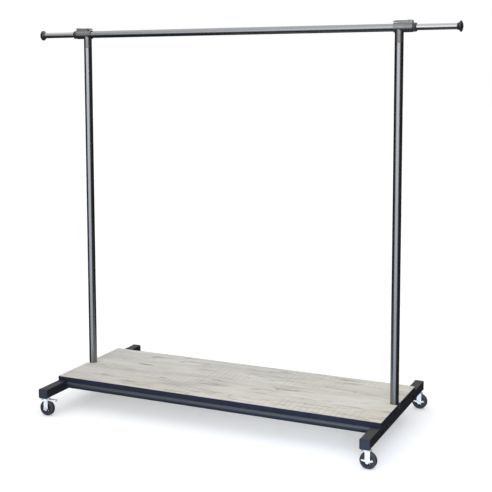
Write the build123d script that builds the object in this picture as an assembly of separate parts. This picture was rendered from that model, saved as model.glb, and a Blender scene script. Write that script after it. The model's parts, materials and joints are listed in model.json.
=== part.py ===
"""Rolling clothes rack: a board on a tube base, two uprights, and a hanging bar with pull-out ends.

Millimetres, +Z up, X along the hanging bar, Y front (-) to back (+). The origin is on the floor,
at the middle of the rack. Every node is written to parts/NODE.step.
"""

from build123d import *
import math
import os

# --- Overall layout -------------------------------------------------------------------------
BAR_HEIGHT = 1500.0  # floor to the hanging bar's axis
HALF_SPAN = 658.0  # middle of the rack to an upright's axis
FOOT_LENGTH = 720.0  # over both end caps
BASE_TOP = 107.0  # floor to the top of the feet and rails
BOARD_DEPTH = 455.0
BOARD_THICKNESS = 16.0

# --- Feet and their end caps ----------------------------------------------------------------
FOOT_SIZE = 36.0
FOOT_WALL = 1.5
FOOT_CORNER = 3.0
CAP_SIZE = 38.0
CAP_CORNER = 4.5
CAP_DEPTH = 8.0
CAP_ROUND = 2.0
PLUG_LENGTH = 12.0
PLUG_WALL = 2.5
PLUG_CORNER = 2.0
PLUG_SLACK = 0.1  # each side, inside the tube

# --- Rails, uprights and their fixings ------------------------------------------------------
RAIL_RADIUS = 16.0
UPRIGHT_RADIUS = 16.0
TUBE_WALL = 1.5
INSERT_LENGTH = 30.0
INSERT_SLACK = 0.05
BOLT_RADIUS = 4.0
BOLT_SLACK = 0.3
THREAD_SLACK = 0.05
BOLT_REACH = 25.0  # thread length inside an insert
BOLT_HEAD_RADIUS = 8.0
BOLT_HEAD_HEIGHT = 4.0
BOLT_HEAD_ROUND = 1.5
HEX_KEY = 5.0
HEX_KEY_DEPTH = 2.5
SCREW_RADIUS = 2.4
SCREW_SLACK = 0.3
SCREW_HEAD_RADIUS = 4.5
SCREW_HEAD_HEIGHT = 3.0
SCREW_ACCESS_RADIUS = 6.0  # the hole under each shelf screw, for the screwdriver
SCREW_BITE = 11.0  # length of a shelf screw inside the board
SCREW_PITCH = 450.0

# --- Board ----------------------------------------------------------------------------------
BAND_THICKNESS = 1.0
NOTCH_RADIUS = 17.0

# --- Hanging bar and its pull-out rods, along "out", which runs outwards from an upright -----
BAR_RADIUS = 14.0
BAR_WALL = 1.5
BAR_END = 20.0
ROD_RADIUS = 11.0
ROD_WALL = 1.2
ROD_INNER_END = -180.0
ROD_OUTER_END = 220.0
RUNNING_SLACK = 0.06  # radial, for a piece that slides or turns in its guide
FIXED_SLACK = 0.03  # radial, between pieces that stay together
GLIDE_LENGTH = 20.0
STOP_START = 208.0
STOP_RIM_START = 219.0
STOP_RIM_END = 222.0
STOP_RIM_RADIUS = 20.0
STOP_NECK_RADIUS = 12.4
STOP_CROWN = 228.0
STOP_PLUG_START = 200.0
STOP_PLUG_SLACK = 0.1

# --- Tee connector, its collar and its cam lever, in the same "out" direction ---------------
SLEEVE_RADIUS = 17.5
SLEEVE_NOSE_RADIUS = 16.6
SLEEVE_START = -20.0
SLEEVE_END = 50.0
SPIGOT_END = 57.0
COLLAR_END = 64.0
COLLAR_RADIUS = 16.0
COLLAR_CHAMFER = 2.5
ROD_WAY_RADIUS = 11.6
NECK_DROP = 55.0  # bar axis to the bottom of the connector's neck
NECK_PLUG = 45.0
NECK_WALL = 3.4
LEVER_PIVOT = 38.0
LEVER_PIVOT_HEIGHT = 22.0  # above the bar's axis
LEVER_HALF_WIDTH = 5.0
LEVER_CAM_RADIUS = 4.2
LEVER_LOW = 19.6
LEVER_HIGH = 25.4
LEVER_TIP = -23.0
LEVER_TIP_THICKNESS = 1.0
LEVER_PIN_RADIUS = 2.0
CHEEK_INNER = 5.4
CHEEK_OUTER = 9.0
CHEEK_START = 29.0
CHEEK_HIGH = 26.5
SKIRT_START = -6.0
SKIRT_HIGH = 21.5
CHEEK_ROUND = 4.0

# --- Casters --------------------------------------------------------------------------------
STEM_SETBACK = 20.0  # stem axis to the end of the foot
TRAIL = 8.0  # stem axis to wheel axis, along X at rest
WHEEL_RADIUS = 30.0
WHEEL_WIDTH = 19.0
TYRE_ROUND = 4.0
RIM_RADIUS = 22.0
RIM_INNER = 18.0
RIM_WIDTH = 17.0
WEB_WIDTH = 5.0
HUB_RADIUS = 8.0
HUB_WIDTH = 21.0
WEB_HOLE_RADIUS = 3.0
WEB_HOLES = 5
AXLE_RADIUS = 4.0
AXLE_HEAD_FLATS = 12.0
AXLE_HEAD_HEIGHT = 3.0
FORK_GAP = 22.4  # between the fork's legs
FORK_PLATE = 2.4
FORK_LEG_WIDTH = 18.0
FORK_POINT = 12.0  # below the wheel's axis
CROWN_LOW = 62.0
CROWN_HIGH = 64.4
CROWN_RADIUS = 17.0
CUP_RADIUS = 14.0
CUP_ROOM_RADIUS = 11.0
CUP_ROOM_HIGH = 67.2
CUP_HIGH = 68.4
STEM_RADIUS = 5.0
STEM_HOLE_SLACK = 0.2
STEM_FLANGE_RADIUS = 10.5
STEM_FLANGE_LOW = 64.8
STEM_FLANGE_HIGH = 66.8
STEM_HEX_FLATS = 17.0
STEM_HEX_LOW = 68.8
STEM_TOP = 92.0
NUT_FLATS = 16.0
NUT_HEIGHT = 8.0
GUARD_LENGTH = 34.0
GUARD_HALF_WIDTH = 9.0
GUARD_RISE = 3.4
GUARD_TIP_DEPTH = 9.5
BRAKE_PLATE = 2.0
BRAKE_GAP = 0.4
BRAKE_HALF_LENGTH = 21.0
BRAKE_ARM = 4.0
BRAKE_TIP_RISE = 5.0
BRAKE_EYE_RADIUS = 7.5
BRAKE_TREAD = 5.5  # how far each foot tab stands out from the lever

# --- Derived sizes --------------------------------------------------------------------------
BASE = (Align.CENTER, Align.CENTER, Align.MIN)
SPARE = 1.0  # how far a cutting tool runs past the face it opens
FOOT_BOTTOM = BASE_TOP - FOOT_SIZE
FOOT_AXIS_HEIGHT = BASE_TOP - FOOT_SIZE / 2
FOOT_INNER_FACE = HALF_SPAN - FOOT_SIZE / 2
FOOT_OUTER_FACE = HALF_SPAN + FOOT_SIZE / 2
RAIL_Y = BOARD_DEPTH / 2 - RAIL_RADIUS
RAIL_HEIGHT = BASE_TOP - RAIL_RADIUS
BOLT_LENGTH = FOOT_SIZE + BOLT_REACH
BOARD_TOP = BASE_TOP + BOARD_THICKNESS
STEM_Y = FOOT_LENGTH / 2 - STEM_SETBACK
UPRIGHT_TOP = BAR_HEIGHT - NECK_DROP
AXLE_HEIGHT = WHEEL_RADIUS
FORK_OUTER = FORK_GAP / 2 + FORK_PLATE
SIDES = {"left": -1, "right": 1}
ENDS = {"front": -1, "rear": 1}


# --- Helpers --------------------------------------------------------------------------------
def upright_disc(radius, low, high):
    """A round solid about Z between two heights."""
    return Pos(0, 0, low) * Cylinder(radius, high - low, align=BASE)


def lying_disc(radius, start, end):
    """A round solid about X between two places."""
    return Pos(start, 0, 0) * Rotation(0, 90, 0) * Cylinder(radius, end - start, align=BASE)


def cross_disc(radius, start, end):
    """A round solid about Y between two places."""
    return Pos(0, start, 0) * Rotation(-90, 0, 0) * Cylinder(radius, end - start, align=BASE)


def block(low, high):
    """A box between two corners."""
    size = [b - a for a, b in zip(low, high)]
    corner = (Align.MIN, Align.MIN, Align.MIN)
    return Pos(*low) * Box(*size, align=corner)


def hex_prism(flats, low, high):
    """A hexagonal prism about Z, sized across its flats."""
    outline = RegularPolygon(flats / 2, 6, major_radius=False)
    return Pos(0, 0, low) * extrude(outline, high - low)


def square_section(size, corner):
    return RectangleRounded(size, size, corner)


def side_plate(outline, thickness):
    """A plate from an outline whose x is X and whose y is Z, from y = 0 towards the front."""
    return extrude(Plane.XZ * outline, thickness)


def both_sides(shape, side):
    """The shape as drawn for the right side, or its mirror image for the left."""
    return shape if side > 0 else mirror(shape, Plane.YZ)


def place(shape, x, y, z):
    return Pos(x, y, z) * shape


# --- Base -----------------------------------------------------------------------------------
def foot():
    """A square tube along Y, drilled for the upright, the rails and the caster stems."""
    length = FOOT_LENGTH - 2 * CAP_DEPTH
    outer = square_section(FOOT_SIZE, FOOT_CORNER)
    inner = square_section(FOOT_SIZE - 2 * FOOT_WALL, FOOT_CORNER - FOOT_WALL)
    tube = Rotation(90, 0, 0) * extrude(outer - inner, length / 2, both=True)
    hole = BOLT_RADIUS + BOLT_SLACK
    half = FOOT_SIZE / 2 + SPARE
    tube -= upright_disc(hole, -half, half)
    for y in (-RAIL_Y, RAIL_Y):
        tube -= place(lying_disc(hole, -half, half), 0, y, RAIL_HEIGHT - FOOT_AXIS_HEIGHT)
    for y in (-STEM_Y, STEM_Y):
        tube -= place(upright_disc(STEM_RADIUS + STEM_HOLE_SLACK, -half, -half / 2), 0, y, 0)
    return tube


def foot_cap():
    """An end cap on the +Y end of a foot, with a plug that is open below for the caster's nut."""
    end = FOOT_LENGTH / 2
    face = Rotation(-90, 0, 0) * extrude(square_section(CAP_SIZE, CAP_CORNER), CAP_DEPTH)
    face = fillet(face.edges().group_by(Axis.Y)[-1], CAP_ROUND)
    plug_size = FOOT_SIZE - 2 * FOOT_WALL - 2 * PLUG_SLACK
    plug_inner = plug_size - 2 * PLUG_WALL
    ring = square_section(plug_size, PLUG_CORNER) - Rectangle(plug_inner, plug_inner)
    corners = plug_size / 2 - PLUG_WALL
    plug = Rotation(90, 0, 0) * extrude(ring, PLUG_LENGTH)
    plug -= block((-plug_size, -PLUG_LENGTH - SPARE, -plug_size), (plug_size, -SPARE, -corners))
    return place(face + plug, 0, end - CAP_DEPTH, 0)


def round_tube(radius, wall, length):
    """A tube about Z standing on z = 0."""
    return upright_disc(radius, 0, length) - upright_disc(radius - wall, 0, length)


def rail():
    """A round tube along X between the feet, drilled for the board's screws and to reach them."""
    length = 2 * FOOT_INNER_FACE
    tube = place(Rotation(0, 90, 0) * round_tube(RAIL_RADIUS, TUBE_WALL, length), -length / 2, 0, 0)
    reach = RAIL_RADIUS + SPARE
    for x in (-SCREW_PITCH, 0, SCREW_PITCH):
        tube -= place(upright_disc(SCREW_RADIUS + SCREW_SLACK, 0, reach), x, 0, 0)
        tube -= place(upright_disc(SCREW_ACCESS_RADIUS, -reach, 0), x, 0, 0)
    return tube


def insert(tube_radius):
    """A threaded plug about Z, with its mouth at z = 0, for the end of a tube."""
    plug = upright_disc(tube_radius - TUBE_WALL - INSERT_SLACK, 0, INSERT_LENGTH)
    return plug - upright_disc(BOLT_RADIUS + THREAD_SLACK, -SPARE, INSERT_LENGTH + SPARE)


def frame_bolt():
    """A round-headed bolt about Z: its head sits below z = 0 and its shank runs up."""
    head = upright_disc(BOLT_HEAD_RADIUS, -BOLT_HEAD_HEIGHT, 0)
    head = fillet(head.edges().group_by(Axis.Z)[0], BOLT_HEAD_ROUND)
    bolt = head + upright_disc(BOLT_RADIUS, 0, BOLT_LENGTH)
    return bolt - hex_prism(HEX_KEY, -BOLT_HEAD_HEIGHT - SPARE, HEX_KEY_DEPTH - BOLT_HEAD_HEIGHT)


def frame_bolts():
    """Two bolts up into the uprights and four bolts in through the feet to the rails."""
    bolts = []
    for side in SIDES.values():
        bolts.append(place(frame_bolt(), side * HALF_SPAN, 0, FOOT_BOTTOM))
        for end in ENDS.values():
            turned = Rotation(0, -90 * side, 0) * frame_bolt()
            bolts.append(place(turned, side * FOOT_OUTER_FACE, end * RAIL_Y, RAIL_HEIGHT))
    return bolts


def rail_inserts():
    plugs = []
    for side in SIDES.values():
        for end in ENDS.values():
            turned = Rotation(0, -90 * side, 0) * insert(RAIL_RADIUS)
            plugs.append(place(turned, side * FOOT_INNER_FACE, end * RAIL_Y, RAIL_HEIGHT))
    return plugs


def upright_inserts():
    return [place(insert(UPRIGHT_RADIUS), side * HALF_SPAN, 0, BASE_TOP) for side in SIDES.values()]


# --- Board ----------------------------------------------------------------------------------
def board_outline(half_length, half_depth):
    """The board's outline with a round-bottomed notch at each end for the upright."""
    outline = Rectangle(2 * half_length, 2 * half_depth)
    for side in SIDES.values():
        outline -= Pos(side * HALF_SPAN, 0) * Circle(NOTCH_RADIUS)
        slot = Pos(side * (HALF_SPAN + half_length) / 2, 0)
        outline -= slot * Rectangle(half_length - HALF_SPAN, 2 * NOTCH_RADIUS)
    return outline


def shelf_board():
    half_length = FOOT_OUTER_FACE - BAND_THICKNESS
    half_depth = BOARD_DEPTH / 2 - BAND_THICKNESS
    board = place(extrude(board_outline(half_length, half_depth), BOARD_THICKNESS), 0, 0, BASE_TOP)
    for x in (-SCREW_PITCH, 0, SCREW_PITCH):
        for y in (-RAIL_Y, RAIL_Y):
            hole = upright_disc(SCREW_RADIUS + THREAD_SLACK, BASE_TOP - SPARE, BASE_TOP + SCREW_BITE)
            board -= place(hole, x, y, 0)
    return board


def shelf_edge_band():
    """Strips along the board's four edges; the end strips stop at the notches."""
    half_length = FOOT_OUTER_FACE
    half_depth = BOARD_DEPTH / 2
    inner_x = half_length - BAND_THICKNESS
    inner_y = half_depth - BAND_THICKNESS
    strips = []
    for end in ENDS.values():
        near, far = sorted((end * inner_y, end * half_depth))
        strips.append(block((-half_length, near, BASE_TOP), (half_length, far, BOARD_TOP)))
        for side in SIDES.values():
            left, right = sorted((side * inner_x, side * half_length))
            low, high = sorted((end * NOTCH_RADIUS, end * inner_y))
            strips.append(block((left, low, BASE_TOP), (right, high, BOARD_TOP)))
    return strips


def shelf_screws():
    """Screws up into the board, with their heads inside the rails, against the upper wall."""
    inner = RAIL_RADIUS - TUBE_WALL
    seat = RAIL_HEIGHT + math.sqrt(inner**2 - SCREW_HEAD_RADIUS**2)
    head = upright_disc(SCREW_HEAD_RADIUS, seat - SCREW_HEAD_HEIGHT, seat)
    head = fillet(head.edges().group_by(Axis.Z)[0], SCREW_HEAD_HEIGHT / 2)
    screw = head + upright_disc(SCREW_RADIUS, seat, BASE_TOP + SCREW_BITE - SPARE)
    places = [(x, y) for x in (-SCREW_PITCH, 0, SCREW_PITCH) for y in (-RAIL_Y, RAIL_Y)]
    return [place(screw, x, y, 0) for x, y in places]


# --- Uprights, connectors and hanging bar ---------------------------------------------------
def upright():
    tube = round_tube(UPRIGHT_RADIUS, TUBE_WALL, UPRIGHT_TOP - BASE_TOP)
    tube = place(tube, 0, 0, BASE_TOP)
    hole = cross_disc(SCREW_RADIUS + SCREW_SLACK, 0, UPRIGHT_RADIUS + SPARE)
    return tube - place(hole, 0, 0, UPRIGHT_TOP - NECK_PLUG / 2)


def connector():
    """The right-hand tee, about the bar's axis: a sleeve, a neck with its plug, and lever cheeks."""
    nose = Pos(SLEEVE_END - CHEEK_ROUND, 0, 0) * Rotation(0, 90, 0)
    body = lying_disc(SLEEVE_RADIUS, SLEEVE_START, SLEEVE_END - CHEEK_ROUND)
    body += nose * Cone(SLEEVE_RADIUS, SLEEVE_NOSE_RADIUS, CHEEK_ROUND, align=BASE)
    body += lying_disc(BAR_RADIUS, SLEEVE_END, SPIGOT_END)
    body += upright_disc(UPRIGHT_RADIUS, -NECK_DROP, 0)
    plug_radius = UPRIGHT_RADIUS - TUBE_WALL - INSERT_SLACK
    body += upright_disc(plug_radius, -NECK_DROP - NECK_PLUG, -NECK_DROP)
    for side in (-1, 1):
        body += lever_cheek(side)
    body -= lying_disc(BAR_RADIUS + FIXED_SLACK, SLEEVE_START - SPARE, BAR_END)
    body -= lying_disc(ROD_WAY_RADIUS, 0, SPIGOT_END + SPARE)
    body -= upright_disc(plug_radius - NECK_WALL, -NECK_DROP - NECK_PLUG - SPARE, -SLEEVE_RADIUS - NECK_WALL)
    pin_hole = cross_disc(LEVER_PIN_RADIUS + FIXED_SLACK, -CHEEK_OUTER - SPARE, CHEEK_OUTER + SPARE)
    body -= place(pin_hole, LEVER_PIVOT, 0, LEVER_PIVOT_HEIGHT)
    screw_hole = cross_disc(SCREW_RADIUS + THREAD_SLACK, 0, UPRIGHT_RADIUS)
    return body - place(screw_hole, 0, 0, -NECK_DROP - NECK_PLUG / 2)


def lever_cheek(side):
    """One of the two walls that stand on the sleeve beside the lever and hold its pin."""
    low = BAR_RADIUS
    outline = Polyline(
        (SKIRT_START, low),
        (SLEEVE_END, low),
        (SLEEVE_END, CHEEK_HIGH),
        (CHEEK_START, CHEEK_HIGH),
        (CHEEK_START, SKIRT_HIGH),
        (SKIRT_START + CHEEK_ROUND, SKIRT_HIGH),
        close=True,
    )
    face = make_face(outline)
    face = fillet(face.vertices().group_by(Axis.Y)[-1], CHEEK_ROUND)
    plate = side_plate(face, CHEEK_OUTER - CHEEK_INNER)
    return place(plate, 0, -CHEEK_INNER if side < 0 else CHEEK_OUTER, 0)


def collar():
    """The dark ring on the connector's spigot that guides the pull-out rod."""
    ring = lying_disc(COLLAR_RADIUS, SLEEVE_END, COLLAR_END)
    ring = chamfer(ring.edges().group_by(Axis.X)[-1], COLLAR_CHAMFER)
    ring -= lying_disc(BAR_RADIUS + FIXED_SLACK, SLEEVE_END - SPARE, SPIGOT_END)
    return ring - lying_disc(ROD_RADIUS + RUNNING_SLACK, SLEEVE_END, COLLAR_END + SPARE)


def connector_screw():
    """A screw from the back, through the upright and into the connector's plug."""
    head = cross_disc(SCREW_HEAD_RADIUS, UPRIGHT_RADIUS, UPRIGHT_RADIUS + SCREW_HEAD_HEIGHT)
    head = fillet(head.edges().group_by(Axis.Y)[-1], SCREW_HEAD_HEIGHT / 2)
    plug_inner = UPRIGHT_RADIUS - TUBE_WALL - NECK_WALL
    screw = head + cross_disc(SCREW_RADIUS, plug_inner, UPRIGHT_RADIUS)
    return place(screw, 0, 0, -NECK_DROP - NECK_PLUG / 2)


def lock_lever():
    """The right-hand cam lever, lying flat along the top of the sleeve."""
    outline = Polyline(
        (LEVER_PIVOT, LEVER_LOW),
        (LEVER_PIVOT, LEVER_HIGH),
        (LEVER_TIP + 2 * CHEEK_ROUND, LEVER_HIGH),
        (LEVER_TIP, LEVER_LOW + LEVER_TIP_THICKNESS),
        (LEVER_TIP, LEVER_LOW),
        close=True,
    )
    arm = side_plate(make_face(outline), 2 * LEVER_HALF_WIDTH)
    eye = cross_disc(LEVER_CAM_RADIUS, -2 * LEVER_HALF_WIDTH, 0)
    lever = arm + place(eye, LEVER_PIVOT, 0, LEVER_PIVOT_HEIGHT)
    hole = cross_disc(LEVER_PIN_RADIUS + RUNNING_SLACK, -2 * LEVER_HALF_WIDTH - SPARE, SPARE)
    lever -= place(hole, LEVER_PIVOT, 0, LEVER_PIVOT_HEIGHT)
    return place(lever, 0, LEVER_HALF_WIDTH, 0)


def lever_pin():
    pin = cross_disc(LEVER_PIN_RADIUS, -CHEEK_OUTER, CHEEK_OUTER)
    return place(pin, LEVER_PIVOT, 0, LEVER_PIVOT_HEIGHT)


def main_bar():
    half = HALF_SPAN + BAR_END
    solid = lying_disc(BAR_RADIUS, -half, half) - lying_disc(BAR_RADIUS - BAR_WALL, -half, half)
    return place(solid, 0, 0, BAR_HEIGHT)


def pull_out_rod():
    tube = lying_disc(ROD_RADIUS, ROD_INNER_END, ROD_OUTER_END)
    return tube - lying_disc(ROD_RADIUS - ROD_WALL, ROD_INNER_END, ROD_OUTER_END)


def rod_glide():
    """The plastic ring on the rod's inner end that slides inside the hanging bar."""
    end = ROD_INNER_END + GLIDE_LENGTH
    ring = lying_disc(BAR_RADIUS - BAR_WALL - RUNNING_SLACK, ROD_INNER_END, end)
    return ring - lying_disc(ROD_RADIUS + FIXED_SLACK, ROD_INNER_END, end)


def rod_stop():
    """The flared end stop: a trumpet-shaped skirt over the rod's end, a rim and a low dome."""
    bore = ROD_RADIUS + FIXED_SLACK
    plug = ROD_RADIUS - ROD_WALL - STOP_PLUG_SLACK
    flare = TangentArc(
        (STOP_START, STOP_NECK_RADIUS), (STOP_RIM_START, STOP_RIM_RADIUS), tangent=(1, 0)
    )
    dome = TangentArc((STOP_CROWN, 0), (STOP_RIM_END, STOP_RIM_RADIUS), tangent=(0, 1))
    edge = [
        Line((STOP_START, bore), (STOP_START, STOP_NECK_RADIUS)),
        flare,
        Line((STOP_RIM_START, STOP_RIM_RADIUS), (STOP_RIM_END, STOP_RIM_RADIUS)),
        dome,
        Line((STOP_CROWN, 0), (STOP_PLUG_START, 0)),
        Line((STOP_PLUG_START, 0), (STOP_PLUG_START, plug)),
        Line((STOP_PLUG_START, plug), (ROD_OUTER_END, plug)),
        Line((ROD_OUTER_END, plug), (ROD_OUTER_END, bore)),
        Line((ROD_OUTER_END, bore), (STOP_START, bore)),
    ]
    return revolve(make_face(Wire(edge)), Axis.X)


# --- Casters, about the stem's axis, with the floor at z = 0 --------------------------------
def caster_stem():
    """The fixed pin: a flange inside the fork's cup, a hexagon under the foot and a threaded top."""
    stem = upright_disc(STEM_RADIUS, CROWN_LOW, STEM_TOP)
    stem += upright_disc(STEM_FLANGE_RADIUS, STEM_FLANGE_LOW, STEM_FLANGE_HIGH)
    stem += hex_prism(STEM_HEX_FLATS, STEM_HEX_LOW, FOOT_BOTTOM)
    return stem


def caster_nut():
    low = FOOT_BOTTOM + FOOT_WALL
    nut = hex_prism(NUT_FLATS, low, low + NUT_HEIGHT)
    return nut - upright_disc(STEM_RADIUS + THREAD_SLACK, low - SPARE, low + NUT_HEIGHT + SPARE)


def fork_leg_outline():
    """A straight leg with a pointed lower end around the axle."""
    half = FORK_LEG_WIDTH / 2
    outline = Polyline(
        (TRAIL - half, CROWN_HIGH),
        (TRAIL - half, AXLE_HEIGHT),
        (TRAIL, AXLE_HEIGHT - FORK_POINT),
        (TRAIL + half, AXLE_HEIGHT),
        (TRAIL + half, CROWN_HIGH),
        close=True,
    )
    face = make_face(outline)
    return fillet(face.vertices().group_by(Axis.Y)[0], FORK_PLATE)


def fork(guard):
    """A pressed fork: crown, bearing cup and two legs, with a thread guard on the free casters."""
    half = FORK_LEG_WIDTH / 2
    shape = upright_disc(CROWN_RADIUS, CROWN_LOW, CROWN_HIGH)
    low = (TRAIL - half, -FORK_OUTER, CROWN_LOW)
    shape += block(low, (TRAIL + half, FORK_OUTER, CROWN_HIGH))
    for side in (-1, 1):
        leg = side_plate(fork_leg_outline(), FORK_PLATE)
        shape += place(leg, 0, -FORK_GAP / 2 if side < 0 else FORK_OUTER, 0)
    top = shape.edges().filter_by(Axis.X).group_by(Axis.Z)[-1]
    shape = fillet(top, FORK_PLATE / 2)
    if guard:
        shape += thread_guard()
    shape += upright_disc(CUP_RADIUS, CROWN_HIGH, CUP_HIGH)
    shape -= upright_disc(CUP_ROOM_RADIUS, CROWN_HIGH, CUP_ROOM_HIGH)
    shape -= upright_disc(STEM_RADIUS + RUNNING_SLACK, CROWN_LOW - SPARE, CUP_HIGH + SPARE)
    hole = cross_disc(AXLE_RADIUS + FIXED_SLACK, -FORK_OUTER - SPARE, FORK_OUTER + SPARE)
    return shape - place(hole, TRAIL, 0, AXLE_HEIGHT)


def thread_guard():
    """A rising channel, open below, that carries the crown out over the wheel."""
    start = TRAIL + FORK_LEG_WIDTH / 2
    end = start + GUARD_LENGTH
    tip_top = CROWN_HIGH + GUARD_RISE
    tip_low = tip_top - GUARD_TIP_DEPTH
    ridge = [(TRAIL, CROWN_LOW), (TRAIL, CROWN_HIGH), (start, CROWN_HIGH), (end, tip_top)]
    outline = Polyline(*ridge, (end, tip_low), (start, CROWN_LOW), close=True)
    guard = side_plate(make_face(outline), 2 * GUARD_HALF_WIDTH)
    inner_end = end - FORK_PLATE
    under = [(start, CROWN_LOW), (inner_end, tip_top - FORK_PLATE), (inner_end, tip_low - SPARE)]
    hollow = side_plate(
        make_face(Polyline(*under, (start, CROWN_LOW - SPARE), close=True)),
        2 * (GUARD_HALF_WIDTH - FORK_PLATE),
    )
    corners = guard.edges().filter_by(Axis.Z).group_by(Axis.X)[-1]
    guard = place(fillet(corners, GUARD_HALF_WIDTH / 2), 0, GUARD_HALF_WIDTH, 0)
    return guard - place(hollow, 0, GUARD_HALF_WIDTH - FORK_PLATE, 0)


def axle():
    """The wheel's bolt along Y, with a hexagonal head in front and a nut behind."""
    front = FORK_OUTER + 2 * BRAKE_GAP + BRAKE_PLATE
    head = Rotation(-90, 0, 0) * hex_prism(AXLE_HEAD_FLATS, 0, AXLE_HEAD_HEIGHT)
    bolt = cross_disc(AXLE_RADIUS, -front, FORK_OUTER)
    bolt += place(head, 0, FORK_OUTER, 0)
    bolt += place(head, 0, -front - AXLE_HEAD_HEIGHT, 0)
    return place(bolt, TRAIL, 0, AXLE_HEIGHT)


def wheel_hub():
    """A moulded wheel centre: rim, thin web with round holes, and boss."""
    bore = AXLE_RADIUS + RUNNING_SLACK
    section = Pos((RIM_INNER + RIM_RADIUS) / 2, 0) * Rectangle(RIM_RADIUS - RIM_INNER, RIM_WIDTH)
    section += Pos((bore + RIM_INNER) / 2, 0) * Rectangle(RIM_INNER - bore, WEB_WIDTH)
    section += Pos((bore + HUB_RADIUS) / 2, 0) * Rectangle(HUB_RADIUS - bore, HUB_WIDTH)
    hub = revolve(section, Axis.Y)
    hole = place(cross_disc(WEB_HOLE_RADIUS, -WEB_WIDTH, WEB_WIDTH), (HUB_RADIUS + RIM_INNER) / 2, 0, 0)
    for n in range(WEB_HOLES):
        hub -= Rotation(0, 360 / WEB_HOLES * n, 0) * hole
    return place(hub, TRAIL, 0, AXLE_HEIGHT)


def wheel_tyre():
    """A tyre with rounded shoulders."""
    inner = RIM_RADIUS + FIXED_SLACK
    section = Pos((inner + WHEEL_RADIUS) / 2, 0) * Rectangle(WHEEL_RADIUS - inner, WHEEL_WIDTH)
    section = fillet(section.vertices().group_by(Axis.X)[-1], TYRE_ROUND)
    return place(revolve(section, Axis.Y), TRAIL, 0, AXLE_HEIGHT)


def brake_lever():
    """A rocking brake lever on the axle, in front of the fork, with a foot tab at each end."""
    half = BRAKE_HALF_LENGTH
    outline = Polyline(
        (-half, BRAKE_TIP_RISE - BRAKE_ARM),
        (0, -BRAKE_ARM),
        (half, BRAKE_TIP_RISE - BRAKE_ARM),
        (half, BRAKE_TIP_RISE),
        (0, BRAKE_ARM),
        (-half, BRAKE_TIP_RISE),
        close=True,
    )
    lever = side_plate(make_face(outline), BRAKE_PLATE) + cross_disc(BRAKE_EYE_RADIUS, -BRAKE_PLATE, 0)
    for side in (-1, 1):
        left, right = sorted((side * (half - BRAKE_ARM), side * half))
        low = (left, -BRAKE_TREAD, BRAKE_TIP_RISE - BRAKE_PLATE)
        lever += block(low, (right, 0, BRAKE_TIP_RISE))
    lever -= cross_disc(AXLE_RADIUS + RUNNING_SLACK, -BRAKE_TREAD - SPARE, SPARE)
    return place(lever, TRAIL, -FORK_OUTER - BRAKE_GAP, AXLE_HEIGHT)


# --- Assembly -------------------------------------------------------------------------------
def base_nodes():
    nodes = {}
    for name, side in SIDES.items():
        nodes[f"foot_{name}"] = [place(foot(), side * HALF_SPAN, 0, FOOT_AXIS_HEIGHT)]
        for end_name, end in ENDS.items():
            cap = foot_cap() if end > 0 else mirror(foot_cap(), Plane.XZ)
            nodes[f"foot_cap_{end_name}_{name}"] = [place(cap, side * HALF_SPAN, 0, FOOT_AXIS_HEIGHT)]
    for name, end in ENDS.items():
        nodes[f"rail_{name}"] = [place(rail(), 0, end * RAIL_Y, RAIL_HEIGHT)]
    nodes["rail_inserts"] = rail_inserts()
    nodes["upright_inserts"] = upright_inserts()
    nodes["frame_bolts"] = frame_bolts()
    nodes["shelf_board"] = [shelf_board()]
    nodes["shelf_edge_band"] = shelf_edge_band()
    nodes["shelf_screws"] = shelf_screws()
    return nodes


def top_nodes():
    nodes = {"main_bar": [main_bar()], "connector_screws": [], "lever_pins": []}
    pieces = {
        "connector": connector,
        "collar": collar,
        "lock_lever": lock_lever,
        "pull_out_rod": pull_out_rod,
        "rod_glide": rod_glide,
        "rod_stop": rod_stop,
    }
    for name, side in SIDES.items():
        nodes[f"upright_{name}"] = [place(upright(), side * HALF_SPAN, 0, 0)]
        at = (side * HALF_SPAN, 0, BAR_HEIGHT)
        for piece, make in pieces.items():
            nodes[f"{piece}_{name}"] = [place(both_sides(make(), side), *at)]
        nodes["connector_screws"].append(place(connector_screw(), *at))
        nodes["lever_pins"].append(place(both_sides(lever_pin(), side), *at))
    return nodes


def caster_nodes():
    nodes = {"caster_stems": [], "caster_nuts": []}
    for side_name, side in SIDES.items():
        braked = side > 0
        for end_name, end in ENDS.items():
            corner = f"{end_name}_{side_name}"
            at = (side * HALF_SPAN, end * STEM_Y, 0)
            nodes["caster_stems"].append(place(caster_stem(), *at))
            nodes["caster_nuts"].append(place(caster_nut(), *at))
            nodes[f"caster_fork_{corner}"] = [place(fork(not braked), *at)]
            nodes[f"caster_axle_{corner}"] = [place(axle(), *at)]
            nodes[f"wheel_hub_{corner}"] = [place(wheel_hub(), *at)]
            nodes[f"wheel_tyre_{corner}"] = [place(wheel_tyre(), *at)]
            if braked:
                nodes[f"brake_lever_{corner}"] = [place(brake_lever(), *at)]
    return nodes


def write(name, shapes):
    """One STEP file for a node, holding each of its pieces as a solid."""
    solids = [solid for shape in shapes for solid in shape.solids()]
    whole = solids[0] if len(solids) == 1 else Compound(children=solids)
    export_step(whole, f"parts/{name}.step")


os.makedirs("parts", exist_ok=True)
for group in (base_nodes(), top_nodes(), caster_nodes()):
    for node_name, node_shapes in group.items():
        write(node_name, node_shapes)
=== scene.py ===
"""The look of the rolling clothes rack: materials, small moulded details, studio and camera.

Metres throughout, in the frame's own axes: X along the hanging bar, Y front to back, Z up.
"""

import json
import math

import bmesh
import bpy
from mathutils import Matrix, Vector


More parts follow.
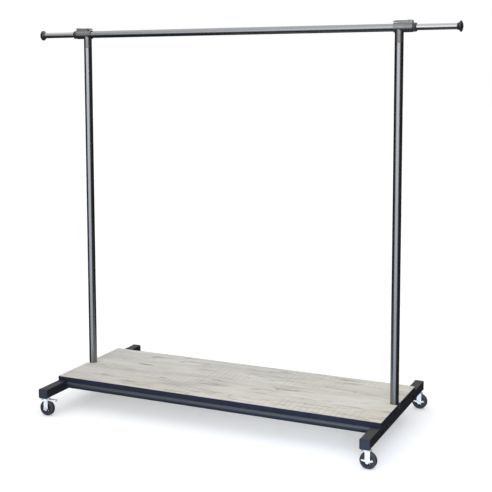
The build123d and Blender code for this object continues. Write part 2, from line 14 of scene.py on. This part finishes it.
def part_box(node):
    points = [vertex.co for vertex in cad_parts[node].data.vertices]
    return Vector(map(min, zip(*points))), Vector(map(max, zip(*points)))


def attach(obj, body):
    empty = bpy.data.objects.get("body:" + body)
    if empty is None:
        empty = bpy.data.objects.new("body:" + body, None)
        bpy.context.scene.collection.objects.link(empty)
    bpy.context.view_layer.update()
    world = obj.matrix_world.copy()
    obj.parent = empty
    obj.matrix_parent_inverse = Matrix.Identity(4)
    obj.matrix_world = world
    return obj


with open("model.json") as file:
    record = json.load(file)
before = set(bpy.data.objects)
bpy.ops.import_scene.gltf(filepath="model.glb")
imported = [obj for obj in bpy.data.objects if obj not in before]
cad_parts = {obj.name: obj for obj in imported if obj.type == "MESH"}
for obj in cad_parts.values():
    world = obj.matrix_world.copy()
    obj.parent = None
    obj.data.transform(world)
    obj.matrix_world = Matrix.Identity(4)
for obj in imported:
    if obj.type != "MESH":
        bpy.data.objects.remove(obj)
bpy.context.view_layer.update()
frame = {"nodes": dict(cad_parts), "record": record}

CORNERS = {  # which way along Y the foot's end at each corner faces
    "front_left": -1,
    "front_right": -1,
    "rear_left": 1,
    "rear_right": 1,
}

# --- Moulded details ------------------------------------------------------------------------
BEAD_SIDES = 14
BEAD_CORNER_STEPS = 10
CAP_BEAD_HALF = 0.0165  # from the cap's middle to the bead's middle
CAP_BEAD_CORNER = 0.0045
CAP_BEAD_RADII = (0.0021, 0.0016)  # across the bead, and out from the face
TYRE_BEAD_RADIUS = 0.0247
TYRE_BEAD_RADII = (0.0008, 0.0007)

# --- Surfaces: scales in features per metre, depths in metres ---------------------------------
COAT_TONES = (0.93, 1.06)  # darkest and lightest, as shares of the coat's colour
COAT_ROUGH_SPREAD = 0.05  # either side of the coat's roughness
RUBBED_COLOUR = 0.20  # how far a rubbed streak goes towards the worn colour
RUBBED_ROUGH = 0.04  # roughness added in a rubbed streak
PEEL_SCALE = 700.0
PEEL_DEPTH = 0.000006

PLASTIC_DARK = 0.8  # share of the colour between the handled patches
PLASTIC_LIGHT = 1.35  # and in them
PLASTIC_LIFT = 0.004  # added there, so that near-black plastic changes too
PLASTIC_ROUGH = (0.09, -0.07)  # change of roughness, between the patches and in them
PLASTIC_GRAIN_SCALE = 1600.0
PLASTIC_GRAIN_DEPTH = 0.000012

STEEL_DULL = 0.78  # share of the colour in the dull crystals
STEEL_ROUGH = (0.10, -0.06)  # change of roughness, from dull to bright crystals
STEEL_LINE_SCALE = 500.0
STEEL_LINE_DEPTH = 0.00001

DUST_COLOUR = (0.16, 0.155, 0.15)
DUST_COVER = 0.22
RUBBER_ROUGH = (0.46, 0.72)  # clean, and dusty
RUBBER_GRAIN_SCALE = 1300.0
RUBBER_GRAIN_DEPTH = 0.00004

WOOD_GREY_PAINTED_SHADE = (0.59, 0.583, 0.563)  # painted shade: the board's colour at its rear left, painted greyer and darker
WOOD_CREAM_PAINTED_LIGHT = (0.665, 0.62, 0.515)  # painted light: its colour at its front right, painted lighter and creamier
WOOD_PALE = (0.76, 0.745, 0.69)
WOOD_SHADE = (0.33, 0.325, 0.305)
WOOD_CRACK = (0.15, 0.14, 0.125)
WOOD_CUT = (0.035, 0.036, 0.045)  # the sealed cut faces in the notches
CUT_UPRIGHTNESS = (0.55, 0.45)  # how far up a face looks: top face above these, cut face below
CRACK_WIDTHS = {0.44: 0.016, 0.56: 0.013}  # by the level that the crack follows
CRACK_COVER = 0.75
KNOT_COVER = 0.60
SAW_COVER = 0.26
WOOD_ROUGH = (0.72, 0.55)  # in the grain's low and high parts
WOOD_RELIEF = 0.0003
FIBRE_HEIGHT = 0.4  # shares of the relief
CRACK_HEIGHT = -1.2
SAW_HEIGHT = -0.4

# --- Camera, at the photograph's angle ------------------------------------------------------
CAMERA_PLACE = (1.641, -3.476, 1.322)
CAMERA_AZIMUTH = 24.51  # degrees, from +Y towards -X
CAMERA_PITCH = -5.57
CAMERA_ROLL = -0.10
CAMERA_LENS = 72.58  # mm
CAMERA_SENSOR = 36.0  # mm
CAMERA_SHIFT = -0.145

# --- Studio ---------------------------------------------------------------------------------
FLOOR_RADIUS = 40.0
FLOOR_SIDES = 96
FLOOR_GREY = 0.90
FLOOR_GLOW = 0.22  # keeps the shadows light
SKY_SEEN = 1.0  # what the camera sees past the floor
KEY_TOWARDS = (0.087, -0.996, 0.0)  # the bright side of the studio, in front of the rack
KEY_EDGE = (0.68, 0.88)  # cosine from there where it starts, and where it is full
KEY_STRENGTH = 2.7
KEY_FADE = (  # its colour by height, from 0 straight down to 1 straight up
    (0.10, (0.0, 0.0, 0.0)),
    (0.24, (0.10, 0.12, 0.17)),
    (0.37, (0.42, 0.50, 0.60)),
    (0.51, (1.0, 1.0, 1.0)),
)
TOP_EDGE = (0.18, 0.75)  # height where the ceiling light starts, and where it is full
TOP_STRENGTH = 0.97
TOP_GLOSS = 0.75  # share by which the ceiling is brighter in reflections
ROOM_STRENGTH = 0.05
LOW_LIGHT_PLACE = (1.1, -1.9, 0.30)
LOW_LIGHT_AIM = (0.55, -0.30, 0.09)
LOW_LIGHT_SIZE = (0.9, 0.35)
LOW_LIGHT_POWER = 30.0  # watts
LOW_LIGHT_COLOUR = (0.45, 0.64, 1.0)


# --- Node helpers ---------------------------------------------------------------------------
def new_material(name):
    """A material with its tree and its one principled shader."""
    material = bpy.data.materials.new(name)
    material.use_nodes = True
    tree = material.node_tree
    return material, tree, tree.nodes["Principled BSDF"]


def add(tree, kind, inputs=None, **settings):
    """Adds a node, sets its properties, and sets or links its inputs."""
    made = tree.nodes.new(kind)
    for key, value in settings.items():
        setattr(made, key, value)
    for key, value in (inputs or {}).items():
        if isinstance(value, bpy.types.NodeSocket):
            tree.links.new(value, made.inputs[key])
        else:
            made.inputs[key].default_value = value
    return made


def place_in_frame(tree, stretch=(1, 1, 1), offset=(0, 0, 0)):
    """Coordinates in metres, stretched along each axis and then moved."""
    coords = add(tree, "ShaderNodeTexCoord").outputs["Object"]
    inputs = {"Vector": coords, "Scale": stretch, "Location": offset}
    return add(tree, "ShaderNodeMapping", inputs).outputs["Vector"]


def noise(
    tree, scale, detail=4.0, rough=0.55, distortion=0.0, stretch=(1, 1, 1), offset=(0, 0, 0)
):
    """A noise value from 0 to 1, with scale in features per metre."""
    inputs = {
        "Vector": place_in_frame(tree, stretch, offset),
        "Scale": scale,
        "Detail": detail,
        "Roughness": rough,
        "Distortion": distortion,
    }
    return add(tree, "ShaderNodeTexNoise", inputs).outputs["Fac"]


def ramp(tree, value, stops):
    """A colour ramp; stops are (position, grey or colour), in order of position."""
    node = add(tree, "ShaderNodeValToRGB", {"Fac": value})
    elements = node.color_ramp.elements
    while len(elements) < len(stops):
        elements.new(0.5)
    for element, (position, colour) in zip(elements, stops):
        element.position = position
        rgb = (colour,) * 3 if isinstance(colour, (int, float)) else colour
        element.color = (*rgb, 1.0)
    return node.outputs["Color"]


def cover(tree, value, none, full):
    """0 where a value is at none, 1 where it is at full; either can be the higher."""
    return ramp(tree, value, sorted([(none, 0.0), (full, 1.0)]))


def map_range(tree, value, low, high):
    """Maps low..high, which can fall as well as rise, to 0..1."""
    inputs = {"Value": value, "From Min": low, "From Max": high}
    return add(tree, "ShaderNodeMapRange", inputs).outputs["Result"]


def span(tree, value, low, high):
    """Maps 0..1 to low..high."""
    inputs = {"Value": value, "To Min": low, "To Max": high}
    return add(tree, "ShaderNodeMapRange", inputs).outputs["Result"]


def smooth_step(tree, value, edge, strength):
    """Rises smoothly from 0 to strength between the two edges."""
    inputs = {"Value": value, "From Min": edge[0], "From Max": edge[1], "To Max": strength}
    node = add(tree, "ShaderNodeMapRange", inputs, interpolation_type="SMOOTHSTEP")
    return node.outputs["Result"]


def calculate(tree, operation, *values):
    """One step of arithmetic on numbers or sockets."""
    inputs = dict(enumerate(values))
    return add(tree, "ShaderNodeMath", inputs, operation=operation).outputs[0]


def multiply(tree, first, second):
    return calculate(tree, "MULTIPLY", first, second)


def total(tree, first, second):
    return calculate(tree, "ADD", first, second)


def blend_colour(tree, factor, first, second, mode="MIX"):
    """Mixes two colours, each a colour or a socket, by a number or a socket."""
    node = add(tree, "ShaderNodeMix", data_type="RGBA", blend_type=mode)
    sockets = {"Factor": factor, "A": first, "B": second}
    for name, value in sockets.items():
        wanted = "VALUE" if name == "Factor" else "RGBA"
        socket = next(s for s in node.inputs if s.name == name and s.type == wanted)
        if isinstance(value, bpy.types.NodeSocket):
            tree.links.new(value, socket)
        else:
            socket.default_value = (*value, 1.0) if wanted == "RGBA" else value
    return next(s for s in node.outputs if s.type == "RGBA")


def bump(tree, shader, height, depth):
    """Bumps the surface by up to depth metres."""
    node = add(tree, "ShaderNodeBump", {"Height": height, "Distance": depth, "Strength": 1.0})
    tree.links.new(node.outputs["Normal"], shader.inputs["Normal"])


def scaled(colour, share):
    return tuple(c * share for c in colour)


# --- Materials ------------------------------------------------------------------------------
def powder_coat(name, colour, worn, roughness, metallic=0.0):
    """Powder-coated steel: slow tone changes, an orange-peel skin and faint rubbed streaks."""
    material, tree, shader = new_material(name)
    tone = noise(tree, scale=7.0, detail=3.0)
    streaks = noise(
        tree, scale=60.0, detail=6.0, rough=0.7, distortion=0.6, stretch=(1, 1, 0.25)
    )
    rubbed = cover(tree, streaks, none=0.60, full=0.78)
    darkest, lightest = (scaled(colour, share) for share in COAT_TONES)
    base = blend_colour(tree, tone, darkest, lightest)
    base = blend_colour(tree, multiply(tree, rubbed, RUBBED_COLOUR), base, worn)
    tree.links.new(base, shader.inputs["Base Color"])
    smooth, coarse = roughness - COAT_ROUGH_SPREAD, roughness + COAT_ROUGH_SPREAD
    rough = total(tree, span(tree, tone, smooth, coarse), multiply(tree, rubbed, RUBBED_ROUGH))
    tree.links.new(rough, shader.inputs["Roughness"])
    shader.inputs["Metallic"].default_value = metallic
    bump(tree, shader, noise(tree, PEEL_SCALE, detail=2.0), PEEL_DEPTH)
    return material


def moulded_plastic(
    name,
    colour,
    roughness,
    specular=0.5,
    metallic=0.0,
    grain_scale=PLASTIC_GRAIN_SCALE,
    grain_depth=PLASTIC_GRAIN_DEPTH,
):
    """Moulded plastic: spark-eroded grain, with handled patches a little smoother and lighter."""
    material, tree, shader = new_material(name)
    patches = noise(tree, scale=22.0, detail=4.0, rough=0.6)
    light = tuple(min(1.0, c * PLASTIC_LIGHT + PLASTIC_LIFT) for c in colour)
    base = blend_colour(tree, patches, scaled(colour, PLASTIC_DARK), light)
    tree.links.new(base, shader.inputs["Base Color"])
    between, handled = (roughness + change for change in PLASTIC_ROUGH)
    tree.links.new(span(tree, patches, between, handled), shader.inputs["Roughness"])
    shader.inputs["Specular IOR Level"].default_value = specular
    shader.inputs["Metallic"].default_value = metallic
    bump(tree, shader, noise(tree, grain_scale, detail=3.0, rough=0.6), grain_depth)
    return material


def plated_steel(name, colour, roughness, streak=(1, 1, 14), metallic=1.0):
    """Zinc-plated steel: cloudy crystals, fine drawing lines and a slightly uneven gloss."""
    material, tree, shader = new_material(name)
    cloud = noise(tree, scale=90.0, detail=5.0, rough=0.65)
    lines = noise(tree, STEEL_LINE_SCALE, detail=2.0, rough=0.5, stretch=streak)
    base = blend_colour(tree, cloud, scaled(colour, STEEL_DULL), colour)
    tree.links.new(base, shader.inputs["Base Color"])
    dull, bright = (roughness + change for change in STEEL_ROUGH)
    tree.links.new(span(tree, cloud, dull, bright), shader.inputs["Roughness"])
    shader.inputs["Metallic"].default_value = metallic
    bump(tree, shader, lines, STEEL_LINE_DEPTH)
    return material


def rubber(name, colour):
    """Dull rubber with a fine mould texture and a little dust."""
    material, tree, shader = new_material(name)
    dust = cover(tree, noise(tree, scale=45.0, detail=6.0, rough=0.7), none=0.45, full=0.75)
    base = blend_colour(tree, multiply(tree, dust, DUST_COVER), colour, DUST_COLOUR)
    tree.links.new(base, shader.inputs["Base Color"])
    tree.links.new(span(tree, dust, *RUBBER_ROUGH), shader.inputs["Roughness"])
    grain = noise(tree, RUBBER_GRAIN_SCALE, detail=3.0, rough=0.7)
    bump(tree, shader, grain, RUBBER_GRAIN_DEPTH)
    return material


def board_painted_light(tree):
    """Painted light across the board: 0 at its rear left, painted in shade, to 1 at its front
    right, painted lit.
    """
    coords = add(tree, "ShaderNodeTexCoord").outputs["Object"]
    apart = add(tree, "ShaderNodeSeparateXYZ", {"Vector": coords}).outputs
    reach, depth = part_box("shelf_board")[1][:2]
    side = map_range(tree, apart["X"], -reach, reach)
    front = map_range(tree, apart["Y"], depth, -depth)
    return total(tree, multiply(tree, side, 0.5), multiply(tree, front, 0.5))


def thin_line(tree, value, level, width):
    """A line, 1 at its middle, where a value passes a level."""
    away = calculate(tree, "ABSOLUTE", total(tree, value, -level))
    inputs = {"Value": away, "From Max": width, "To Min": 1.0, "To Max": 0.0}
    return add(tree, "ShaderNodeMapRange", inputs).outputs["Result"]


def cracks_and_knots(tree):
    """Long cracks, open only in places, and small dark knots."""
    rings = noise(
        tree,
        scale=2.1,
        detail=3.0,
        rough=0.50,
        distortion=0.7,
        stretch=(0.75, 6.5, 1.0),
        offset=(1.7, 0.6, 0.0),
    )
    places = noise(
        tree, scale=7.0, detail=3.0, rough=0.60, stretch=(0.7, 3.0, 1.0), offset=(9.0, 2.0, 0.0)
    )
    knots = noise(
        tree,
        scale=11.0,
        detail=3.0,
        rough=0.50,
        distortion=0.8,
        stretch=(0.55, 4.5, 1.0),
        offset=(0.0, 7.0, 0.0),
    )
    lines = total(tree, *(thin_line(tree, rings, *line) for line in CRACK_WIDTHS.items()))
    crack = multiply(tree, lines, cover(tree, places, none=0.50, full=0.60))
    knot = cover(tree, knots, none=0.63, full=0.70)
    crack, knot = multiply(tree, crack, CRACK_COVER), multiply(tree, knot, KNOT_COVER)
    return calculate(tree, "MAXIMUM", crack, knot)


def saw_marks(tree):
    """Wavy marks across the grain, in patches."""
    inputs = {
        "Vector": place_in_frame(tree, stretch=(1.0, 0.14, 1.0)),
        "Scale": 13.0,
        "Distortion": 3.0,
        "Detail": 4.0,
        "Detail Scale": 2.0,
    }
    saw = add(tree, "ShaderNodeTexWave", inputs, bands_direction="X").outputs["Fac"]
    places = noise(
        tree, scale=3.0, detail=3.0, rough=0.60, stretch=(1.0, 1.6, 1.0), offset=(5.0, 1.0, 0.0)
    )
    mark = cover(tree, saw, none=0.42, full=0.05)
    return multiply(tree, mark, cover(tree, places, none=0.47, full=0.60))


def whitewashed_wood():
    """Whitewashed wood: long wavy grain along X, with cracks, knots and saw marks showing."""
    material, tree, shader = new_material("whitewashed_wood")
    # painted light: the base colour is greyer and shaded at the rear left, lighter and creamier at
    # the front right
    base = blend_colour(tree, board_painted_light(tree), WOOD_GREY_PAINTED_SHADE, WOOD_CREAM_PAINTED_LIGHT)

    broad = noise(
        tree, scale=3.4, detail=7.0, rough=0.60, distortion=0.5, stretch=(0.8, 5.0, 1.0)
    )
    grain = noise(
        tree,
        scale=16.0,
        detail=8.0,
        rough=0.68,
        distortion=0.5,
        stretch=(0.5, 10.0, 1.0),
        offset=(4.0, 0.0, 0.0),
    )
    fine = noise(
        tree, scale=90.0, detail=5.0, rough=0.70, distortion=0.2, stretch=(0.25, 9.0, 1.0)
    )
    layers = (  # pattern, where it starts to show, where it is full, how strong, colour
        (broad, 0.50, 0.66, 0.65, WOOD_PALE),
        (broad, 0.47, 0.32, 0.50, WOOD_SHADE),
        (grain, 0.48, 0.34, 0.46, WOOD_SHADE),
        (fine, 0.52, 0.30, 0.26, WOOD_SHADE),
    )
    for pattern, none, full, strength, colour in layers:
        shown = multiply(tree, cover(tree, pattern, none, full), strength)
        base = blend_colour(tree, shown, base, colour)

    dark = cracks_and_knots(tree)
    base = blend_colour(tree, dark, base, WOOD_CRACK)
    saw = saw_marks(tree)
    base = blend_colour(tree, multiply(tree, saw, SAW_COVER), base, WOOD_SHADE)

    normal = add(tree, "ShaderNodeTexCoord").outputs["Normal"]
    up = add(tree, "ShaderNodeSeparateXYZ", {"Vector": normal}).outputs["Z"]
    cut = cover(tree, calculate(tree, "ABSOLUTE", up), *CUT_UPRIGHTNESS)
    base = blend_colour(tree, cut, base, WOOD_CUT)
    tree.links.new(base, shader.inputs["Base Color"])
    tree.links.new(span(tree, grain, *WOOD_ROUGH), shader.inputs["Roughness"])

    height = total(tree, multiply(tree, fine, FIBRE_HEIGHT), multiply(tree, dark, CRACK_HEIGHT))
    height = total(tree, height, multiply(tree, saw, SAW_HEIGHT))
    bump(tree, shader, height, WOOD_RELIEF)
    return material


def make_materials():
    """One material for each of the record's slots."""
    return {
        "tube": powder_coat(
            "gunmetal_coat",
            colour=(0.22, 0.225, 0.235),
            worn=(0.30, 0.30, 0.30),
            roughness=0.27,
            metallic=1.0,
        ),
        "rod_tube": powder_coat(
            "rod_chrome",
            colour=(0.31, 0.31, 0.315),
            worn=(0.36, 0.36, 0.36),
            roughness=0.15,
            metallic=1.0,
        ),
        "foot_tube": powder_coat(
            "black_coat", colour=(0.011, 0.0112, 0.0125), worn=(0.04, 0.04, 0.04), roughness=0.50
        ),
        "rail_tube": powder_coat(
            "blue_black_coat",
            colour=(0.024, 0.029, 0.040),
            worn=(0.08, 0.09, 0.11),
            roughness=0.32,
            metallic=0.3,
        ),
        "cap_plastic": moulded_plastic(
            "cap_plastic", colour=(0.018, 0.021, 0.028), roughness=0.45, specular=0.22
        ),
        "board": whitewashed_wood(),
        "edge_band": moulded_plastic(
            "edge_band",
            colour=(0.008, 0.0105, 0.021),
            roughness=0.45,
            specular=0.14,
            grain_scale=900.0,
            grain_depth=0.00001,
        ),
        "connector_plastic": moulded_plastic(
            "connector_plastic", colour=(0.14, 0.14, 0.143), roughness=0.34, metallic=0.95
        ),
        "lever_plastic": moulded_plastic(
            "lever_plastic", colour=(0.11, 0.10, 0.108), roughness=0.40, metallic=0.5
        ),
        "collar_rubber": rubber("collar_rubber", colour=(0.010, 0.010, 0.011)),
        "stop_plastic": moulded_plastic(
            "stop_plastic", colour=(0.010, 0.010, 0.011), roughness=0.28
        ),
        "glide_plastic": moulded_plastic(
            "glide_plastic", colour=(0.62, 0.61, 0.58), roughness=0.45
        ),
        "fixing_black": powder_coat(
            "black_oxide",
            colour=(0.016, 0.016, 0.017),
            worn=(0.08, 0.08, 0.08),
            roughness=0.38,
            metallic=0.7,
        ),
        "insert_steel": plated_steel("insert_steel", colour=(0.60, 0.60, 0.60), roughness=0.38),
        "fork_zinc": plated_steel(
            "fork_zinc", colour=(0.93, 0.94, 0.96), roughness=0.38, metallic=0.5
        ),
        "axle_steel": plated_steel(
            "axle_steel",
            colour=(0.84, 0.85, 0.87),
            roughness=0.32,
            streak=(1, 14, 1),
            metallic=0.6,
        ),
        "hub_plastic": moulded_plastic(
            "hub_plastic", colour=(0.014, 0.014, 0.016), roughness=0.40
        ),
        "tyre": rubber("tyre_rubber", colour=(0.018, 0.0175, 0.022)),
    }


def dress_cad(materials):
    """Gives every CAD node the material of its slot."""
    slots = {row["node"]: row["material_slot"] for row in frame["record"]["subparts"]}
    for name, piece in frame["nodes"].items():
        for slot in piece.material_slots:
            slot.material = materials[slots[name]]


# --- Moulded details ------------------------------------------------------------------------
def rounded_path(half, corner):
    """Points round a rounded square, each with its outward direction.

    The path is a circle where corner is the same as half.
    """
    path = []
    for quarter in range(4):
        diagonal = math.radians(90.0 * quarter + 45.0)
        middle = Vector((math.cos(diagonal), math.sin(diagonal))) * (half - corner) * math.sqrt(2.0)
        for step in range(BEAD_CORNER_STEPS):
            angle = math.radians(90.0 * (quarter + (step + 0.5) / BEAD_CORNER_STEPS))
            out = Vector((math.cos(angle), math.sin(angle)))
            path.append((middle + out * corner, out))
    return path


def make_bead(name, place, path, radii, slot, body):
    """A rounded bead that follows the path round the Y axis and rides on a body."""
    mesh = bmesh.new()
    rings = []
    for point, out in path:
        ring = []
        for n in range(BEAD_SIDES):
            angle = math.tau * n / BEAD_SIDES
            across = point + out * (radii[0] * math.cos(angle))
            ring.append(mesh.verts.new((across.x, radii[1] * math.sin(angle), across.y)))
        rings.append(ring)
    for first, second in zip(rings, rings[1:] + rings[:1]):
        for n in range(BEAD_SIDES):
            following = (n + 1) % BEAD_SIDES
            mesh.faces.new((first[n], first[following], second[following], second[n]))
    bmesh.ops.recalc_face_normals(mesh, faces=mesh.faces)
    data = bpy.data.meshes.new(name)
    mesh.to_mesh(data)
    mesh.free()
    data.shade_smooth()
    data.materials.append(materials[slot])
    piece = bpy.data.objects.new(name, data)
    bpy.context.collection.objects.link(piece)
    piece.location = place
    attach(piece, body)


def make_cap_beads():
    """The raised border on the face of each foot's end cap."""
    path = rounded_path(CAP_BEAD_HALF, CAP_BEAD_CORNER)
    for corner, facing in CORNERS.items():
        cap_low, cap_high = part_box(f"foot_cap_{corner}")
        face = cap_low[1] if facing < 0 else cap_high[1]
        place = ((cap_low[0] + cap_high[0]) / 2, face, (cap_low[2] + cap_high[2]) / 2)
        make_bead(f"cap_bead_{corner}", place, path, CAP_BEAD_RADII, "cap_plastic", "frame")


def make_tyre_beads():
    """A moulded ring on both sidewalls of each tyre."""
    path = rounded_path(TYRE_BEAD_RADIUS, TYRE_BEAD_RADIUS)
    for corner in CORNERS:
        tyre_low, tyre_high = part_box(f"wheel_tyre_{corner}")
        for side, y in (("front", tyre_low[1]), ("back", tyre_high[1])):
            place = ((tyre_low[0] + tyre_high[0]) / 2, y, (tyre_low[2] + tyre_high[2]) / 2)
            name = f"tyre_bead_{corner}_{side}"
            make_bead(name, place, path, TYRE_BEAD_RADII, "tyre", f"wheel_{corner}")


# --- Studio and camera ----------------------------------------------------------------------
def make_floor():
    """A round pale floor, faced upwards. It lights the rack but leaves its gloss to the room."""
    bpy.ops.mesh.primitive_circle_add(
        vertices=FLOOR_SIDES, radius=FLOOR_RADIUS, fill_type="NGON"
    )
    floor = bpy.context.object
    floor.name = "studio_floor"
    material, _, shader = new_material("studio_floor")
    shader.inputs["Base Color"].default_value = (FLOOR_GREY, FLOOR_GREY, FLOOR_GREY, 1.0)
    shader.inputs["Roughness"].default_value = 1.0
    shader.inputs["Specular IOR Level"].default_value = 0.0
    shader.inputs["Emission Color"].default_value = (1.0, 1.0, 1.0, 1.0)
    shader.inputs["Emission Strength"].default_value = FLOOR_GLOW
    floor.data.materials.append(material)
    floor.visible_glossy = False


def make_room():
    """The world's light: a bright side in front, a ceiling, and a dim room all round.

    The ceiling is brighter in reflections, and the camera itself sees plain white.
    """
    world = bpy.data.worlds.new("studio")
    bpy.context.scene.world = world
    world.use_nodes = True
    tree = world.node_tree
    towards = add(tree, "ShaderNodeTexCoord").outputs["Generated"]
    height = add(tree, "ShaderNodeSeparateXYZ", {"Vector": towards}).outputs["Z"]
    facing_inputs = {0: towards, 1: KEY_TOWARDS}
    facing = add(tree, "ShaderNodeVectorMath", facing_inputs, operation="DOT_PRODUCT")
    key = smooth_step(tree, facing.outputs["Value"], KEY_EDGE, KEY_STRENGTH)
    tint = ramp(tree, map_range(tree, height, -1.0, 1.0), KEY_FADE)
    front = blend_colour(tree, 1.0, tint, key, "MULTIPLY")
    path = add(tree, "ShaderNodeLightPath").outputs
    gain = span(tree, path["Is Glossy Ray"], 1.0, 1.0 + TOP_GLOSS)
    top = multiply(tree, smooth_step(tree, height, TOP_EDGE, TOP_STRENGTH), gain)
    both = blend_colour(tree, 1.0, front, top, "ADD")
    light = blend_colour(tree, 1.0, both, (ROOM_STRENGTH,) * 3, "ADD")
    shown = blend_colour(tree, path["Is Camera Ray"], light, (SKY_SEEN,) * 3)
    tree.links.new(shown, tree.nodes["Background"].inputs["Color"])


def make_low_light():
    """A cool softbox low by the front-right corner, which lifts the near cap and the rail."""
    light = bpy.data.lights.new("low_softbox", "AREA")
    light.shape = "RECTANGLE"
    light.size, light.size_y = LOW_LIGHT_SIZE
    light.energy = LOW_LIGHT_POWER
    light.color = LOW_LIGHT_COLOUR
    lamp = bpy.data.objects.new("low_softbox", light)
    bpy.context.collection.objects.link(lamp)
    lamp.location = LOW_LIGHT_PLACE
    aim = Vector(LOW_LIGHT_AIM) - Vector(LOW_LIGHT_PLACE)
    lamp.rotation_euler = aim.to_track_quat("-Z", "Y").to_euler()
    lamp.visible_camera = False
    lamp.visible_glossy = False


def make_camera():
    """The camera at the photograph's viewing angle."""
    data = bpy.data.cameras.new("camera")
    data.lens = CAMERA_LENS
    data.sensor_width = CAMERA_SENSOR
    data.shift_y = CAMERA_SHIFT
    camera = bpy.data.objects.new("camera", data)
    bpy.context.collection.objects.link(camera)
    camera.location = CAMERA_PLACE
    tilt = Matrix.Rotation(math.radians(90.0 + CAMERA_PITCH), 4, "X")
    turn = Matrix.Rotation(math.radians(CAMERA_AZIMUTH), 4, "Z")
    roll = Matrix.Rotation(math.radians(CAMERA_ROLL), 4, "Z")
    camera.rotation_euler = (turn @ tilt @ roll).to_euler()
    bpy.context.scene.camera = camera


materials = make_materials()
dress_cad(materials)
make_cap_beads()
make_tyre_beads()
make_floor()
make_room()
make_low_light()
make_camera()
bpy.context.scene.view_settings.view_transform = "Standard"
